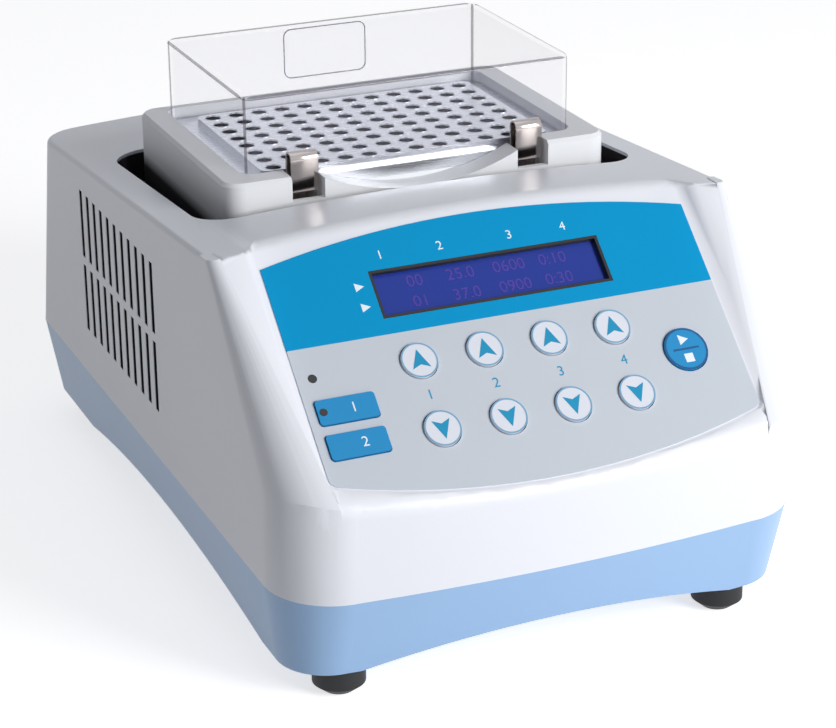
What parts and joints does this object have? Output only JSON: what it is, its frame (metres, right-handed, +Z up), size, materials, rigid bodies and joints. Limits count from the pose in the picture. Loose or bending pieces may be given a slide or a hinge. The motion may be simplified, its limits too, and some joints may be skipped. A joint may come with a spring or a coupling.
{
  "type": "thermal mixer",
  "caption": "Benchtop thermal mixer: heated well block on an orbiting carriage under a clear lift-off cover, with a sloping key panel and display on a two-part moulded case.",
  "frame": {"origin": "middle of the footprint, on the bench that the feet stand on", "axes": "+X to the right of someone facing the panel, +Y from the panel to the back, +Z up"},
  "size_m": [0.19, 0.294, 0.1726],
  "materials": {
    "housing": "satin",
    "base": "satin",
    "foot_rubber": "matt",
    "steel": "brushed",
    "plated_steel": "zinc plated",
    "panel_film": "satin",
    "display": "gloss",
    "dark_plastic": "matt",
    "circuit_board": "lacquered",
    "aluminium": "machined",
    "motor_paint": "satin",
    "carriage": "satin",
    "insulation": "foam",
    "heater": "matt",
    "clear_cover": "clear gloss",
    "clip_chrome": "polished",
    "brass_blades": "plated",
    "rocker": "gloss",
    "key_white": "satin",
    "key_blue": "satin"
  },
  "bodies": {
    "case": {"top_housing": "housing", "base_shell": "base", "feet": "foot_rubber", "foot_screws": "steel", "case_screws": "steel", "panel_overlay": "panel_film", "display_window": "display", "display_module": "dark_plastic", "display_board": "circuit_board", "status_lamp": "dark_plastic", "chassis_plate": "plated_steel", "deck_pillars": "plated_steel", "deck_plate": "aluminium", "main_bearing": "steel", "motor": "motor_paint", "fan_frame": "dark_plastic", "inlet_socket": "dark_plastic", "inlet_blades": "brass_blades", "switch_frame": "dark_plastic", "power_supply": "circuit_board", "control_board": "circuit_board"},
    "rotor": {"eccentric_shaft": "steel", "counterweight": "plated_steel"},
    "carriage": {"drive_plate": "aluminium", "drive_bearing": "steel", "carriage_spacers": "plated_steel", "carriage_shell": "carriage", "insulation_pad": "insulation", "heater_plate": "heater", "heating_block": "aluminium", "temperature_sensor": "steel"},
    "cover": {"clear_cover": "clear_cover"},
    "clip_left_body": {"clip_left": "clip_chrome"},
    "clip_right_body": {"clip_right": "clip_chrome"},
    "fan": {"fan_rotor": "dark_plastic"},
    "fuse_drawer_body": {"fuse_drawer": "dark_plastic"},
    "rocker_body": {"power_rocker": "rocker"},
    "crank_1": {"idler_crank_1": "steel"},
    "crank_2": {"idler_crank_2": "steel"},
    "crank_3": {"idler_crank_3": "steel"},
    "crank_4": {"idler_crank_4": "steel"},
    "key_up_1_body": {"key_up_1": "key_white"},
    "key_up_2_body": {"key_up_2": "key_white"},
    "key_up_3_body": {"key_up_3": "key_white"},
    "key_up_4_body": {"key_up_4": "key_white"},
    "key_down_1_body": {"key_down_1": "key_white"},
    "key_down_2_body": {"key_down_2": "key_white"},
    "key_down_3_body": {"key_down_3": "key_white"},
    "key_down_4_body": {"key_down_4": "key_white"},
    "key_start_body": {"key_start": "key_blue"},
    "key_mode_1_body": {"key_mode_1": "key_blue"},
    "key_mode_2_body": {"key_mode_2": "key_blue"}
  },
  "joints": [
    {"name": "orbit", "type": "hinge", "parent": "case", "child": "rotor", "pos_m": [-0.0015, 0.0177, 0.088], "axis": [0, 0, 1], "continuous": true},
    {"name": "carriage_pin", "type": "hinge", "parent": "rotor", "child": "carriage", "pos_m": [0, 0.0177, 0.1], "axis": [0, 0, 1], "continuous": true},
    {"name": "crank_1_turn", "type": "hinge", "parent": "case", "child": "crank_1", "pos_m": [-0.0475, -0.0083, 0.088], "axis": [0, 0, 1], "continuous": true},
    {"name": "crank_2_turn", "type": "hinge", "parent": "case", "child": "crank_2", "pos_m": [-0.0475, 0.0437, 0.088], "axis": [0, 0, 1], "continuous": true},
    {"name": "crank_3_turn", "type": "hinge", "parent": "case", "child": "crank_3", "pos_m": [0.0445, -0.0083, 0.088], "axis": [0, 0, 1], "continuous": true},
    {"name": "crank_4_turn", "type": "hinge", "parent": "case", "child": "crank_4", "pos_m": [0.0445, 0.0437, 0.088], "axis": [0, 0, 1], "continuous": true},
    {"name": "cover_lift", "type": "slide", "parent": "carriage", "child": "cover", "axis": [0, 0, 1], "range_m": [0, 0.06]},
    {"name": "clip_left_flex", "type": "hinge", "parent": "carriage", "child": "clip_left_body", "pos_m": [-0.0426, -0.0236, 0.1265], "axis": [1, 0, 0], "range_deg": [0, 6], "stiffness_Nm_per_rad": 0.6},
    {"name": "clip_right_flex", "type": "hinge", "parent": "carriage", "child": "clip_right_body", "pos_m": [0.0426, -0.0236, 0.1265], "axis": [1, 0, 0], "range_deg": [0, 6], "stiffness_Nm_per_rad": 0.6},
    {"name": "fan_turn", "type": "hinge", "parent": "case", "child": "fan", "pos_m": [0.087, 0.028, 0.066], "axis": [1, 0, 0], "continuous": true},
    {"name": "fuse_drawer_pull", "type": "slide", "parent": "case", "child": "fuse_drawer_body", "axis": [0, 1, 0], "range_m": [0, 0.0135]},
    {"name": "rocker_tilt", "type": "hinge", "parent": "case", "child": "rocker_body", "pos_m": [0.008, 0.121, 0.07], "axis": [1, 0, 0], "range_deg": [-8, 8]},
    {"name": "key_up_1_press", "type": "slide", "parent": "case", "child": "key_up_1_body", "axis": [0, 0.6665, -0.7455], "range_m": [0, 0.0005], "stiffness_N_per_m": 600},
    {"name": "key_up_2_press", "type": "slide", "parent": "case", "child": "key_up_2_body", "axis": [0, 0.6665, -0.7455], "range_m": [0, 0.0005], "stiffness_N_per_m": 600},
    {"name": "key_up_3_press", "type": "slide", "parent": "case", "child": "key_up_3_body", "axis": [0, 0.6665, -0.7455], "range_m": [0, 0.0005], "stiffness_N_per_m": 600},
    {"name": "key_up_4_press", "type": "slide", "parent": "case", "child": "key_up_4_body", "axis": [0, 0.6665, -0.7455], "range_m": [0, 0.0005], "stiffness_N_per_m": 600},
    {"name": "key_down_1_press", "type": "slide", "parent": "case", "child": "key_down_1_body", "axis": [0, 0.6665, -0.7455], "range_m": [0, 0.0005], "stiffness_N_per_m": 600},
    {"name": "key_down_2_press", "type": "slide", "parent": "case", "child": "key_down_2_body", "axis": [0, 0.6665, -0.7455], "range_m": [0, 0.0005], "stiffness_N_per_m": 600},
    {"name": "key_down_3_press", "type": "slide", "parent": "case", "child": "key_down_3_body", "axis": [0, 0.6665, -0.7455], "range_m": [0, 0.0005], "stiffness_N_per_m": 600},
    {"name": "key_down_4_press", "type": "slide", "parent": "case", "child": "key_down_4_body", "axis": [0, 0.6665, -0.7455], "range_m": [0, 0.0005], "stiffness_N_per_m": 600},
    {"name": "key_start_press", "type": "slide", "parent": "case", "child": "key_start_body", "axis": [0, 0.6665, -0.7455], "range_m": [0, 0.0005], "stiffness_N_per_m": 600},
    {"name": "key_mode_1_press", "type": "slide", "parent": "case", "child": "key_mode_1_body", "axis": [0, 0.6665, -0.7455], "range_m": [0, 0.0005], "stiffness_N_per_m": 600},
    {"name": "key_mode_2_press", "type": "slide", "parent": "case", "child": "key_mode_2_body", "axis": [0, 0.6665, -0.7455], "range_m": [0, 0.0005], "stiffness_N_per_m": 600}
  ],
  "couplings": [
    {"joint": "carriage_pin", "follows": "orbit", "ratio": -1},
    {"joint": "crank_1_turn", "follows": "orbit", "ratio": 1},
    {"joint": "crank_2_turn", "follows": "orbit", "ratio": 1},
    {"joint": "crank_3_turn", "follows": "orbit", "ratio": 1},
    {"joint": "crank_4_turn", "follows": "orbit", "ratio": 1}
  ]
}
